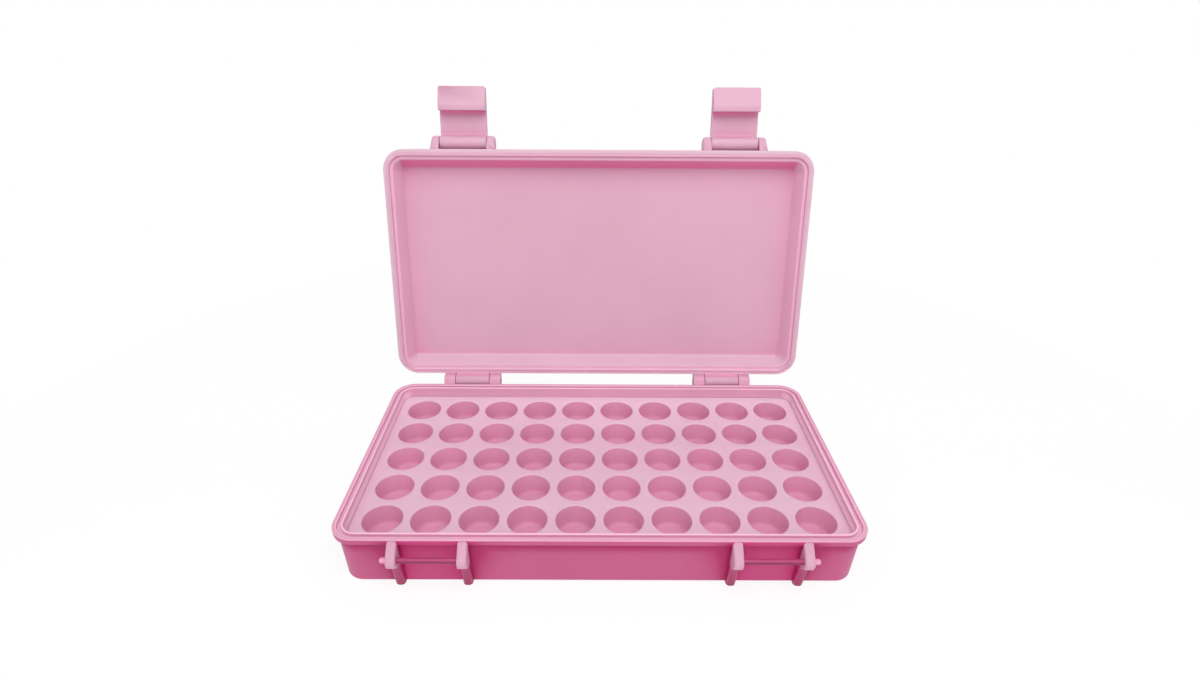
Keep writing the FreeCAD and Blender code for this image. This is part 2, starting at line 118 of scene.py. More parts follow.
def soft_steps(tree, *parts):
    """The product of its parts, each a mask's socket or a soft step in a value.

    A step is written as the value's socket, where the step starts and where it ends, and then the levels
    before and after it where they aren't 0 and 1.
    """
    product = None
    for part in parts:
        if isinstance(part, tuple):
            socket, start, end, *levels = part
            low, high = levels or (0.0, 1.0)
            step = add(tree, "ShaderNodeMapRange",
                       {"Value": socket, "From Min": start, "From Max": end, "To Min": low, "To Max": high},
                       interpolation_type="SMOOTHSTEP")
            part = step.outputs["Result"]
        if product is None:
            product = part
        else:
            both = add(tree, "ShaderNodeMath", {0: product, 1: part}, operation="MULTIPLY")
            product = both.outputs["Value"]
    return product


def band(socket, start, end, soft):
    """The two soft steps of a stretch of a value: up to 1 before its start, and down to 0 past its end."""
    return (socket, start - soft, start), (socket, end + soft, end)


def painted(tree, ground, *coats):
    """A ground colour with coats laid over it in turn, each given as its mask and its colour.

    A colour is sRGB hex, or the socket of another paint.
    """
    colour = linear(ground) if isinstance(ground, str) else ground
    for share, coat in coats:
        over = linear(coat) if isinstance(coat, str) else coat
        mix = add(tree, "ShaderNodeMix", {"A": colour, "B": over, "Factor": share}, data_type="RGBA")
        colour = mix.outputs["Result"]
    return colour


# %% The plastic
GRAIN_MM = 0.5
GRAIN_DEPTH_MM = 0.05
GRAIN_STRENGTH = 0.06
CLOUD_MM = 45.0
GLOW_MM = 2.0
NOISE_SPAN = (0.3, 0.7)
CLOUD_LEVELS = (0.98, 1.02)
SATIN = 0.42
SATIN_SPREAD = 0.05


def satin_plastic(name, colour_of, roughness=SATIN):
    """Moulded polypropylene, with a function that makes its colour from a place on the piece."""
    material, tree = blank_material(name)
    place = add(tree, "ShaderNodeTexCoord").outputs["Object"]
    grain = add(tree, "ShaderNodeTexNoise", {"Vector": place, "Scale": 1 / (GRAIN_MM * mm), "Detail": 2.0})
    cloud = add(tree, "ShaderNodeTexNoise", {"Vector": place, "Scale": 1 / (CLOUD_MM * mm), "Detail": 3.0})
    drift = soft_steps(tree, (cloud.outputs["Fac"], *NOISE_SPAN, *CLOUD_LEVELS))
    tint = add(tree, "ShaderNodeHueSaturation", {"Color": colour_of(tree, place), "Value": drift})
    sheen_levels = (roughness - SATIN_SPREAD, roughness + SATIN_SPREAD)
    sheen = soft_steps(tree, (grain.outputs["Fac"], *NOISE_SPAN, *sheen_levels))
    relief = add(tree, "ShaderNodeBump", {"Height": grain.outputs["Fac"], "Strength": GRAIN_STRENGTH,
                                          "Distance": GRAIN_DEPTH_MM * mm})
    surface = add(tree, "ShaderNodeBsdfPrincipled",
                  {"Base Color": tint.outputs["Color"], "Roughness": sheen,
                   "Normal": relief.outputs["Normal"], "IOR": 1.49, "Specular IOR Level": 0.3,
                   "Metallic": 0.0, "Subsurface Weight": 0.3, "Subsurface Scale": GLOW_MM * mm,
                   "Subsurface Radius": (1.0, 0.6, 0.75)})
    add(tree, "ShaderNodeOutputMaterial", {"Surface": surface.outputs["BSDF"]})
    print(name, len(tree.nodes), "nodes")
    return material


# %% [markdown]
# ## Where a point lies, and how light reaches it
# Every mask starts from a number that can be measured at a point of the surface. Some are distances on the
# box. The others say how much light arrives: the ambient occlusion node tells how open a place is, and the
# normal tells which way it faces. The coats they lay are painted light and painted shade. The normal is the
# piece's own, as the open box stands, so a colour stays on its piece when the lid or a latch turns.

# %% Distances on the box
RIM_HALF_X = 136.0 * mm
RIM_HALF_Y = 72.5 * mm
RIM_CORNER = 13.0 * mm
ANY_HEIGHT = 1.0


def from_middle(tree, place):
    """How far a point lies from the middle of the box along each axis, alike on both sides."""
    away = add(tree, "ShaderNodeVectorMath", {0: place}, operation="ABSOLUTE").outputs["Vector"]
    return add(tree, "ShaderNodeSeparateXYZ", {"Vector": away}).outputs


def edge_distance(tree, place):
    """How far a point lies outside a rectangle through the centres of the box's rounded corners."""
    centre = (RIM_HALF_X - RIM_CORNER, RIM_HALF_Y - RIM_CORNER, ANY_HEIGHT)
    away = add(tree, "ShaderNodeVectorMath", {0: place}, operation="ABSOLUTE").outputs["Vector"]
    past = add(tree, "ShaderNodeVectorMath", {0: away, 1: centre}, operation="SUBTRACT").outputs["Vector"]
    outside = add(tree, "ShaderNodeVectorMath", {0: past, 1: (0, 0, 0)}, operation="MAXIMUM")
    reach = add(tree, "ShaderNodeVectorMath", {0: outside.outputs["Vector"]}, operation="LENGTH")
    return reach.outputs["Value"]


# %% Light on the surface
LOOKS_DOWN = (-0.75, -0.25)
UNDERSIDE_SHARE = 0.15


def open_to_light(tree, reach_mm, shut, clear):
    """1 where the surface is open all round, 0 in a hollow, where shade is painted."""
    hollow = add(tree, "ShaderNodeAmbientOcclusion", {"Distance": reach_mm * mm}, samples=8, only_local=True)
    return soft_steps(tree, (hollow.outputs["AO"], shut, clear))


def facing_up(tree, *step):
    """A soft step by how far the surface faces up, as the open box stands."""
    normal = add(tree, "ShaderNodeTexCoord").outputs["Normal"]
    upward = add(tree, "ShaderNodeSeparateXYZ", {"Vector": normal}).outputs["Z"]
    return soft_steps(tree, (upward, *step))


def not_underside(tree):
    """Near 0 on faces that look down, as the open box stands, where shade is painted."""
    return facing_up(tree, *LOOKS_DOWN, UNDERSIDE_SHARE, 1.0)


# %% [markdown]
# ## The tub's colour
# The tub's colour is painted with the light and shade of the lamp above it. Its outer wall stands upright
# and is painted a deep pink as shade. Its rim, its ears and its inside face up to the light and are painted
# much paler as light. One material for each group of faces would give hard borders, and the borders on the
# real tub are soft, so masks tell its parts apart. Each pair of lengths below is one soft step: where it
# starts and where it ends.

# %% Rim and inside of the tub, painted pale as light
LIP_RISE = (29.3 * mm, 30.0 * mm)
LIP_WIDTH = 2.2 * mm
INSIDE_REACH = (9.4 * mm, 8.6 * mm)
RIM_TOP = (31.3 * mm, 31.8 * mm)
EAR_FRONT = (-72.5 * mm, -72.8 * mm)
EAR_TAIL = (14 * mm, 20 * mm)
END_WALL = (124 * mm, 130 * mm)
BELOW_RIM = (31.2 * mm, 28.0 * mm)


def pale_lit_parts(tree, place):
    """Two masks of painted light: the rim with the inside, and the lip between the inside and the groove."""
    height = add(tree, "ShaderNodeSeparateXYZ", {"Vector": place}).outputs["Z"]
    lip_width = soft_steps(tree, (height, *LIP_RISE, 0.0, LIP_WIDTH))
    reach = add(tree, "ShaderNodeMath", {0: edge_distance(tree, place), 1: lip_width}, operation="SUBTRACT")
    inside = soft_steps(tree, (reach.outputs["Value"], *INSIDE_REACH))
    rim = soft_steps(tree, (height, *RIM_TOP))
    either = add(tree, "ShaderNodeMath", {0: rim, 1: inside}, operation="MAXIMUM")
    return either.outputs["Value"], soft_steps(tree, rim, inside)


def ear_parts(tree, place):
    """1 on the latch ears, fading out down their ribs, where they are painted pale as light."""
    axis = add(tree, "ShaderNodeSeparateXYZ", {"Vector": place}).outputs
    return soft_steps(tree, (axis["Y"], *EAR_FRONT), (axis["Z"], *EAR_TAIL))


def end_walls(tree, place):
    """1 on the inside of the tub's two short walls, below the rim, where paler colour is painted as light.
    """
    away = from_middle(tree, place)
    return soft_steps(tree, (away["X"], *END_WALL), (away["Z"], *BELOW_RIM))


# %% The tub's plastic
UNDER_FLANGE = (20 * mm, 26 * mm)
UNDER_FLANGE_SHARE = 0.12
FLANGE_FOOT = (28.3 * mm, 28.6 * mm)
LATCH_BAY = (72 * mm, 99 * mm, 2 * mm)


def rim_shade(tree, place):
    """Less than 1 on the wall just under the flange, where the flange's shadow is painted."""
    height = add(tree, "ShaderNodeSeparateXYZ", {"Vector": place}).outputs["Z"]
    under = soft_steps(tree, (height, *UNDER_FLANGE, 1.0, UNDER_FLANGE_SHARE))
    flange = soft_steps(tree, (height, *FLANGE_FOOT))
    return add(tree, "ShaderNodeMath", {0: under, 1: flange}, operation="MAXIMUM").outputs["Value"]


def tub_colour(tree, place):
    """Painted shade on the walls, lighter where open to light, and painted light on rim, inside and ears."""
    # Between the latch ears the painted shade and light take a more saturated pink.
    bay = soft_steps(tree, *band(from_middle(tree, place)["X"], *LATCH_BAY))
    deep = painted(tree, "AE2264", (bay, "C42E74"))
    plain = painted(tree, "BE5A86", (bay, "C04C80"))
    wall_open = open_to_light(tree, reach_mm=25.0, shut=0.85, clear=0.99)
    # The wall takes its painted light where it is open, is no underside, and lies clear of the flange's
    # painted shadow.
    lit = soft_steps(tree, wall_open, not_underside(tree), rim_shade(tree, place))
    rim_and_inside, lip = pale_lit_parts(tree, place)
    # The inside is painted a little paler in its hollows, and paler again on its end walls and lip, as
    # painted light.
    inside_open = open_to_light(tree, reach_mm=12.0, shut=0.25, clear=0.95)
    inside = painted(tree, "DAA2BC", (inside_open, "D79EB7"), (end_walls(tree, place), "F3CADD"),
                     (lip, "EDBCD1"))
    return painted(tree, deep, (lit, plain), (rim_and_inside, inside), (ear_parts(tree, place), "CE9DB2"))


tub_plastic = satin_plastic("satin_polypropylene_tub", tub_colour)

# %% [markdown]
# ## The lid's colour
# The open lid stands with its inside to the light, and its colour is painted with that light and shade. Its
# panel is painted deeper towards its walls, and the upper wall, which looks down, deepest of all, as shade.
# The flat bands of the rim are paler. The end walls, the foot, which faces up, and a strip by the hinges,
# where the rim's tongue casts its shadow, are painted paler as light. They could be masked on the leaning
# lid as it stands, but they are simplest to describe where the rim lies level, so each point is first turned
# about the hinge to where it comes to lie on the shut box.

# %% The lid, turned shut
lid_hinge = next(joint for joint in record["behaviour"]["joints"] if joint["name"] == "lid_hinge")
shut_turn = math.radians(lid_hinge["range_deg"][1])
print("the lid shuts by", lid_hinge["range_deg"][1], "degrees")


def shut_place(tree, place):
    """Where a point of the open lid comes to lie on the shut box."""
    turn = {"Vector": place, "Center": lid_hinge["pos_m"], "Angle": shut_turn}
    return add(tree, "ShaderNodeVectorRotate", turn, rotation_type="X_AXIS").outputs["Vector"]


# %% The lid's deep inside
UPPER_PART = (120 * mm, 100 * mm)


def lid_inside(tree, place):
    """The panel and its walls, with painted shade: the corners, and the upper wall that looks down, get the
    deepest pink.
    """
    height = add(tree, "ShaderNodeSeparateXYZ", {"Vector": place}).outputs["Z"]
    below = soft_steps(tree, (height, *UPPER_PART))
    elsewhere = add(tree, "ShaderNodeMath", {0: not_underside(tree), 1: below}, operation="MAXIMUM")
    panel_open = open_to_light(tree, reach_mm=30.0, shut=0.6, clear=1.0)
    panel = painted(tree, "D48FAE", (panel_open, "D0A2B7"))
    wall_open = open_to_light(tree, reach_mm=6.0, shut=0.25, clear=0.85)
    return painted(tree, "DE6E9E", (soft_steps(tree, wall_open, elsewhere.outputs["Value"]), panel))


# %% The lid's plastic
RIM_FACE = (33.2 * mm, 32.7 * mm)
WALL_RISE = (32.2 * mm, 42.2 * mm)
WALL_LEAN = 4.9 * mm
WITHIN_WALLS = (9.0 * mm, 8.3 * mm)
LID_END = (124.5 * mm, 127 * mm)
OUTER_BAND = (10.7 * mm, 13.0 * mm, 0.2 * mm)
INNER_BAND = (9.2 * mm, 8.9 * mm)
FOOT = (41 * mm, 50 * mm, 1 * mm)
FOOT_FACES_UP = (0.35, 0.8)
BY_HINGES = (36.6 * mm, 40.4 * mm, 0.5 * mm)


def lid_colour(tree, place):
    """The lid's inside and paler rim bands, with painted light on the end walls, the foot and the hinge
    strip.
    """
    height = add(tree, "ShaderNodeSeparateXYZ", {"Vector": place}).outputs["Z"]
    shut = shut_place(tree, place)
    rise = add(tree, "ShaderNodeSeparateXYZ", {"Vector": shut}).outputs["Z"]
    distance = edge_distance(tree, shut)
    lean = soft_steps(tree, (rise, *WALL_RISE, 0.0, WALL_LEAN))
    from_wall = add(tree, "ShaderNodeMath", {0: distance, 1: lean}, operation="ADD").outputs["Value"]
    rim = soft_steps(tree, (rise, *RIM_FACE))
    ends = soft_steps(tree, (from_wall, *WITHIN_WALLS), (from_middle(tree, shut)["X"], *LID_END))
    outer_band = soft_steps(tree, rim, *band(distance, *OUTER_BAND))
    inner_band = soft_steps(tree, rim, (distance, *INNER_BAND))
    foot = soft_steps(tree, facing_up(tree, *FOOT_FACES_UP), *band(height, *FOOT))
    # A strip of painted light over the shadow of the rim's tongue, by the hinges.
    by_hinges = soft_steps(tree, rim, *band(height, *BY_HINGES))
    return painted(tree, lid_inside(tree, place), (ends, "DBA6BF"), (outer_band, "D2B1C0"),
                   (inner_band, "DBA7BF"), (foot, "D6AEC1"), (by_hinges, "EFC0D6"))


lid_plastic = satin_plastic("satin_polypropylene_lid", lid_colour)

# %% [markdown]
# ## The tray, the latches and the bars
# The lamps give part of the light and shade here, and masks of heights, hollows or facing paint the rest.
# The floors of the tray's cups are painted deeper than their walls, as shade, and its plate is painted paler
# towards the back, as light. The web of a latch is painted deep between the hook and the barrel, as shade. A
# bar is painted dark on its own shaded side, and its ends past the ears are painted pale, as light.

# %% The tray's plastic
CUP_FLOOR = (12.4 * mm, 14.0 * mm)
PLATE_FACE = (24.4 * mm, 25.1 * mm)
PLATE_BACK = (10 * mm, 62 * mm)


def tray_colour(tree, place):
    """Cups with floors painted deeper as shade, under a plate painted paler towards the back as light."""
    axis = add(tree, "ShaderNodeSeparateXYZ", {"Vector": place}).outputs
    cup = painted(tree, "D294B1", (soft_steps(tree, (axis["Z"], *CUP_FLOOR)), "E2A2BF"))
    plate = painted(tree, "D8B0C4", (soft_steps(tree, (axis["Y"], *PLATE_BACK)), "E1BCD0"))
    return painted(tree, cup, (soft_steps(tree, (axis["Z"], *PLATE_FACE)), plate))


tray_plastic = satin_plastic("satin_polypropylene_tray", tray_colour)

# %% The plastic of the latches and of the bars
BAR_ROUND = (-0.3, 0.8)
BAR_END = (105.4 * mm, 105.9 * mm)
BAR_SATIN = 0.36


def latch_colour(tree, place):
    """Painted shade: a deeper web between hook and barrel, and a bright deep pink right under the hook."""
    web = painted(tree, "A03E70", (open_to_light(tree, reach_mm=13.0, shut=0.25, clear=1.02), "CEA1B5"))
    return painted(tree, "FF8EC0", (open_to_light(tree, reach_mm=5.0, shut=0.2, clear=1.0), web))


def pin_colour(tree, place):
    """Painted shade on a bar's underside, and painted light on its ends past the ears."""
    bar_end = soft_steps(tree, (from_middle(tree, place)["X"], *BAR_END))
    return painted(tree, "701240", (facing_up(tree, *BAR_ROUND), "A63C6C"), (bar_end, "DE9ABC"))


latch_plastic = satin_plastic("satin_polypropylene_latch", latch_colour)
pin_plastic = satin_plastic("satin_polypropylene_pin", pin_colour, roughness=BAR_SATIN)

# %% [markdown]
# ## Soft moulded edges
# A moulded part has no knife edges: the tool rounds every corner a little, and those small rounds catch the
# light as the bright lines along the rim. The frame's solids have crisp edges, so each piece is copied, its
# loose triangles are merged back into faces, and a bevel rounds what is left sharp. A bevel could pick its
# edges by their angle alone, but it would also take the pin holes, so each edge gets a weight instead. The
# copy keeps every real size.

# %% Finish a piece
CREASE = math.radians(32)


def bake_modifiers(piece):
    """Turn what the modifiers show into the piece's own mesh."""
    shown = piece.evaluated_get(bpy.context.evaluated_depsgraph_get())
    mesh = bpy.data.meshes.new_from_object(shown)
    piece.modifiers.clear()
    piece.data = mesh


def finish_piece(piece, material, body, *stands_for):
    """Bake, shade and paint a piece, then hand it to its body."""
    bake_modifiers(piece)
    piece.data.materials.clear()
    piece.data.materials.append(material)
    piece.data.polygons.foreach_set("use_smooth", [True] * len(piece.data.polygons))
    piece.data.set_sharp_from_angle(angle=CREASE)
    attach(piece, body)
    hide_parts(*stands_for)
    print(piece.name, len(piece.data.polygons), "faces")


# %% Merge loose triangles into faces
SAME_POINT = 0.005 * mm
SAME_PLANE = math.radians(0.6)


def merged_shape(mesh):
    """A mesh of loose triangles as a shape with whole faces."""
    shape = bmesh.new()
    shape.from_mesh(mesh)
    bmesh.ops.remove_doubles(shape, verts=shape.verts, dist=SAME_POINT)
    bmesh.ops.dissolve_degenerate(shape, edges=shape.edges, dist=SAME_POINT)
    bmesh.ops.dissolve_limit(shape, angle_limit=SAME_PLANE, verts=shape.verts, edges=shape.edges)
    return shape


# %% Round the edges of a piece
SHORTEST = 0.3 * mm
BEVEL_STEPS = 3


def soften(node, material, body, largest, round_at=None):
    """A copy of a frame node with merged faces and rounded edges, which stands for that node.

    Outer edges get the largest round, in millimetres, or what round_at() gives for their place. The edges of
    the pin holes are made of very short steps and stay crisp.
    """
    mesh = nodes[node].data.copy()
    mesh.name = node + "_moulded"
    shape = merged_shape(mesh)
    weight = shape.edges.layers.float.new("bevel_weight_edge")
    for edge in shape.edges:
        outer = len(edge.link_faces) == 2 and edge.calc_face_angle_signed() > CREASE
        if outer and edge.calc_length() > SHORTEST:
            middle = (edge.verts[0].co + edge.verts[1].co) / 2 / mm
            edge[weight] = round_at(middle, edge.calc_length() / mm) / largest if round_at else 1.0
    shape.to_mesh(mesh)
    shape.free()
    piece = bpy.data.objects.new(node + "_moulded", mesh)
    bpy.context.scene.collection.objects.link(piece)
    bevel = piece.modifiers.new("soft edges", "BEVEL")
    bevel.width = largest * mm
    bevel.segments = BEVEL_STEPS
    bevel.limit_method = "WEIGHT"
    bevel.use_clamp_overlap = False
    finish_piece(piece, material, body, node)


# %% [markdown]
# ## The shells, the latches and the pins
# The ears that carry the latches and their bars are rounded far more than the rest of the two shells. One
# round for a whole shell would either blunt the rim or leave the ears sharp, so a function gives each edge
# of a shell its round by its place, in millimetres. The latches and pins are small and have one round each.

# %% The tub
SHELL_ROUND = 0.4
EAR_ROUND = 1.3
EAR_FOOT_Y = -72.6
EAR_TAIL_TOP = 19.8


def tub_round(place, length):
    """A latch ear is well rounded above its tail, and the tail runs into the rib."""
    if place.y > EAR_FOOT_Y:
        return SHELL_ROUND
    return EAR_ROUND if place.z > EAR_TAIL_TOP else 0.0


soften("base_shell", tub_plastic, "tub", EAR_ROUND, tub_round)

# %% The lid
LID_EAR_ROUND = 1.8
LID_EARS_ABOVE = 160
LATCH_X = 85.6
EAR_SIDES = (15.0, 20.0)
ON_SIDE = 0.01
ARC_STEP = 1.0


def lid_round(place, length):
    """The outer sides of each pair of latch ears are well rounded along the short steps of their arcs."""
    aside = abs(abs(place.x) - LATCH_X)
    on_ear_side = min(abs(aside - side) for side in EAR_SIDES) < ON_SIDE
    if place.z < LID_EARS_ABOVE or not on_ear_side:
        return SHELL_ROUND
    if length > ARC_STEP:
        return 0.0
    return LID_EAR_ROUND if aside > sum(EAR_SIDES) / 2 else SHELL_ROUND


soften("lid_shell", lid_plastic, "lid", LID_EAR_ROUND, lid_round)

# %% Latches, bars and pins
LATCH_ROUND = 0.5
PIN_ROUND = 0.2

for side in ("left", "right"):
    soften("latch_" + side, latch_plastic, side + "_latch", LATCH_ROUND)
    soften("catch_bar_" + side, pin_plastic, "tub", PIN_ROUND)
    soften("hinge_pin_" + side, pin_plastic, "tub", PIN_ROUND)
    soften("latch_pin_" + side, pin_plastic, "lid", PIN_ROUND)

# %% [markdown]
# ## The tray's wells
# The tray is one thin moulding: a plate with fifty round cups and a skirt that stands on the tub's floor.
# The cups could be cut out of a plate one by one, which leaves ragged faces between them. One cup with its
# square of plate is drawn once instead, and Geometry Nodes set it out on the grid, merge the seams and give
# it its material.

# %% Measure the wells
wells = [mount for mount in record["mounts"] if mount["kind"] == "bore"]
well_x = sorted({round(mount["pos_m"][0], 6) for mount in wells})
well_y = sorted({round(mount["pos_m"][1], 6) for mount in wells})
pitch = well_x[1] - well_x[0]
well_radius = wells[0]["dims"]["r_mm"] * mm
well_depth = wells[0]["dims"]["length_mm"] * mm
print("wells:", len(well_x), "by", len(well_y), "at", round(pitch / mm, 2), "mm")

# %% The outline of one well
MOUTH_ROUND = 0.5 * mm
FLOOR_ROUND = 2.0 * mm
ROUND_STEPS = 4
quarter_turn = [math.pi / 2 * step / ROUND_STEPS for step in range(ROUND_STEPS + 1)]


def well_section():
    """Radius and height of each ring of one well, from its mouth to its floor."""
    section = []
    for turn in quarter_turn:
        section.append((well_radius + MOUTH_ROUND * (1 - math.sin(turn)),
                        -MOUTH_ROUND * (1 - math.cos(turn))))
    for turn in quarter_turn:
        section.append((well_radius - FLOOR_ROUND * (1 - math.cos(turn)),
                        -well_depth + FLOOR_ROUND * (1 - math.sin(turn))))
    return section


print("rings in a well:", len(well_section()))

# %% One well and its square of plate
WELL_STEPS = 48


def well_cell():
    """A square of plate, one pitch wide, with its well sunk in the middle."""
    shape = bmesh.new()
    angles = [2 * math.pi * step / WELL_STEPS for step in range(WELL_STEPS)]
    square = []
    for angle in angles:
        reach = pitch / 2 / max(abs(math.cos(angle)), abs(math.sin(angle)))
        square.append(shape.verts.new((reach * math.cos(angle), reach * math.sin(angle), 0)))
    before = square
    for radius, height in well_section():
        ring = [shape.verts.new((radius * math.cos(a), radius * math.sin(a), height)) for a in angles]
        for step in range(WELL_STEPS):
            after = (step + 1) % WELL_STEPS
            shape.faces.new((before[step], before[after], ring[after], ring[step]))
        before = ring
    shape.faces.new(before)
    bmesh.ops.recalc_face_normals(shape, faces=shape.faces)
    if shape.faces[0].normal.z < 0:
        bmesh.ops.reverse_faces(shape, faces=shape.faces)
    mesh = bpy.data.meshes.new("well_cell")
    shape.to_mesh(mesh)
    shape.free()
    return bpy.data.objects.new("well_cell", mesh)


cell = well_cell()
bpy.context.scene.collection.objects.link(cell)
print("one well:", len(cell.data.polygons), "faces")

# %% The grid as a node tree
SEAM = 0.01 * mm


def grid_tree():
    """Geometry Nodes: copies of one cell on a grid, merged into a single plate."""
    tree = bpy.data.node_groups.new("well_grid", "GeometryNodeTree")
    tree.interface.new_socket("Geometry", in_out="INPUT", socket_type="NodeSocketGeometry")
    sizes = {"Cell": "Object", "Columns": "Int", "Rows": "Int", "Width": "Float", "Depth": "Float",
             "Material": "Material"}
    for name, kind in sizes.items():
        tree.interface.new_socket(name, in_out="INPUT", socket_type="NodeSocket" + kind)
    tree.interface.new_socket("Geometry", in_out="OUTPUT", socket_type="NodeSocketGeometry")
    given = add(tree, "NodeGroupInput").outputs
    grid = add(tree, "GeometryNodeMeshGrid", {"Size X": given["Width"], "Size Y": given["Depth"],
                                              "Vertices X": given["Columns"], "Vertices Y": given["Rows"]})
    shown = add(tree, "GeometryNodeObjectInfo", {"Object": given["Cell"]})
    copies = add(tree, "GeometryNodeInstanceOnPoints",
                 {"Points": grid.outputs["Mesh"], "Instance": shown.outputs["Geometry"]})
    real = add(tree, "GeometryNodeRealizeInstances", {"Geometry": copies.outputs["Instances"]})
    whole = add(tree, "GeometryNodeMergeByDistance",
                {"Geometry": real.outputs["Geometry"], "Distance": SEAM})
    paint = add(tree, "GeometryNodeSetMaterial",
                {"Geometry": whole.outputs["Geometry"], "Material": given["Material"]})
    add(tree, "NodeGroupOutput", {"Geometry": paint.outputs["Geometry"]})
    return tree


# %% Set the wells out on their grid


def set_inputs(modifier, values):
    """A modifier's inputs are set by identifier, so each name is looked up first."""
    for item in modifier.node_group.interface.items_tree:
        if item.in_out == "INPUT" and item.name in values:
            modifier[item.identifier] = values[item.name]


plate = bpy.data.objects.new("bobbin_tray_moulded", bpy.data.meshes.new("bobbin_tray_moulded"))
bpy.context.scene.collection.objects.link(plate)
layout = plate.modifiers.new("wells", "NODES")
layout.node_group = grid_tree()
set_inputs(layout, {"Cell": cell, "Columns": len(well_x), "Rows": len(well_y),
                    "Width": well_x[-1] - well_x[0], "Depth": well_y[-1] - well_y[0],
                    "Material": tray_plastic})
bake_modifiers(plate)
bpy.data.objects.remove(cell)
print("plate of wells:", len(plate.data.polygons), "faces")

# %% [markdown]
# ## The tray's border and skirt
# Round the wells the plate runs on to a rounded outline, and there it turns down into a skirt with a little
# draft. A separate frame laid round the wells would leave a seam, so the border grows from the edge of the
# grid itself, ring by ring: each point of that edge is sent out to the outline, round it and down the skirt.
# Solidify then gives the whole sheet its wall.

# %% The tray's outline
tray_low, tray_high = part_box("bobbin_tray")
EDGE_CORNER = 7.0 * mm
EDGE_ROUND = 0.25 * mm
SKIRT_DRAFT = math.radians(0.6)
SKIRT_LIFT = 0.02 * mm
skirt_height = tray_high[2] - tray_low[2]
edge_rings = [(EDGE_ROUND * (1 - math.sin(a)), -EDGE_ROUND * (1 - math.cos(a))) for a in quarter_turn]
edge_rings.append((math.tan(SKIRT_DRAFT) * skirt_height, SKIRT_LIFT - skirt_height))
print("skirt:", round(skirt_height / mm, 2), "mm high")


def edge_place(point, pull, height):
    """Where a point of the grid's edge lands on the tray's rounded outline, pulled in from it."""
    half_x = tray_high[0] - pull
    half_y = tray_high[1] - pull
    middle_x = math.copysign(tray_high[0] - EDGE_CORNER, point.x)
    middle_y = math.copysign(tray_high[1] - EDGE_CORNER, point.y)
    past_x = abs(point.x) > abs(middle_x)
    past_y = abs(point.y) > abs(middle_y)
    if past_x and past_y:
        arm = Vector((point.x - middle_x, point.y - middle_y)).normalized() * (EDGE_CORNER - pull)
        return Vector((middle_x + arm.x, middle_y + arm.y, height))
    if past_y:
        return Vector((point.x, math.copysign(half_y, point.y), height))
    return Vector((math.copysign(half_x, point.x), point.y, height))


# %% Grow the border and give the tray its wall
PLATE_WALL = 1.2 * mm


def grow_border(shape):
    """Rings of faces from the edge of the grid to the foot of the skirt."""
    start_edges = [edge for edge in shape.edges if edge.is_boundary]
    start_points = {}
    for edge in start_edges:
        for vert in edge.verts:
            start_points[vert] = vert.co.copy()
    rows_of_verts = [{vert: vert for vert in start_points}]
    for pull, height in edge_rings:
        rows_of_verts.append({vert: shape.verts.new(edge_place(place, pull, height))
                              for vert, place in start_points.items()})
    for inner, outer in zip(rows_of_verts, rows_of_verts[1:]):
        for edge in start_edges:
            one, two = edge.verts
            shape.faces.new((inner[one], inner[two], outer[two], outer[one]))
    bmesh.ops.recalc_face_normals(shape, faces=shape.faces)
    if sum(face.normal.z * face.calc_area() for face in shape.faces) < 0:
        bmesh.ops.reverse_faces(shape, faces=shape.faces)


shape = bmesh.new()
shape.from_mesh(plate.data)
grow_border(shape)
shape.transform(Matrix.Translation((0, 0, tray_high[2])))
shape.to_mesh(plate.data)
shape.free()
thickness = plate.modifiers.new("plate wall", "SOLIDIFY")
thickness.thickness = PLATE_WALL
thickness.offset = -1
finish_piece(plate, tray_plastic, "tub", "bobbin_tray")

# %% [markdown]
# ## The stage
# The photograph is a product shot on white: the background burns out to white, and the box keeps only a
# faint soft shadow at its foot. Stronger lamps would burn out the floor, and the box with it. So a white
# floor takes the shadow near the box, and further out it turns into plain white for the camera and for
# reflections, which adds no light.

# %% Rays that see the background


def seen_rays(tree):
    """1 for rays that show a background: from the camera, off a gloss or through glass."""
    ray = add(tree, "ShaderNodeLightPath").outputs
    shown = add(tree, "ShaderNodeMath", {0: ray["Is Camera Ray"], 1: ray["Is Glossy Ray"]},
                operation="MAXIMUM")
    every = add(tree, "ShaderNodeMath", {0: shown.outputs["Value"], 1: ray["Is Transmission Ray"]},
                operation="MAXIMUM")
    return every.outputs["Value"]


# %% The floor's paper
SHADOW_FADE = (0.25, 0.45)
BEHIND_BOX = (0.0, 0.08)
SHADOW_LIFTS = (0.82, 0.96)


def floor_material():
    """White paper whose shadow near the box is mostly painted over with white, and plain white further out.
    """
    material, tree = blank_material("white_sweep_paper")
    place = add(tree, "ShaderNodeTexCoord").outputs["Object"]
    away = add(tree, "ShaderNodeVectorMath", {0: place}, operation="LENGTH").outputs["Value"]
    depth = add(tree, "ShaderNodeSeparateXYZ", {"Vector": place}).outputs["Y"]
    # The lift paints white over the floor's shadow: most of it in front of the box, nearly all of it behind.
    lift = soft_steps(tree, (depth, *BEHIND_BOX, *SHADOW_LIFTS))
    far = soft_steps(tree, (away, *SHADOW_FADE))
    fade = add(tree, "ShaderNodeMath", {0: lift, 1: far}, operation="MAXIMUM").outputs["Value"]
    seen = soft_steps(tree, fade, seen_rays(tree))
    paper = add(tree, "ShaderNodeBsdfDiffuse", {"Color": linear("FBFBFB")}).outputs["BSDF"]
    white = add(tree, "ShaderNodeEmission", {"Color": linear("FFFFFF"), "Strength": 1.0}).outputs["Emission"]
    both = add(tree, "ShaderNodeMixShader", {"Fac": seen, 1: paper, 2: white})
    add(tree, "ShaderNodeOutputMaterial", {"Surface": both.outputs["Shader"]})
    return material


# %% The floor
FLOOR_REACH = 3.0

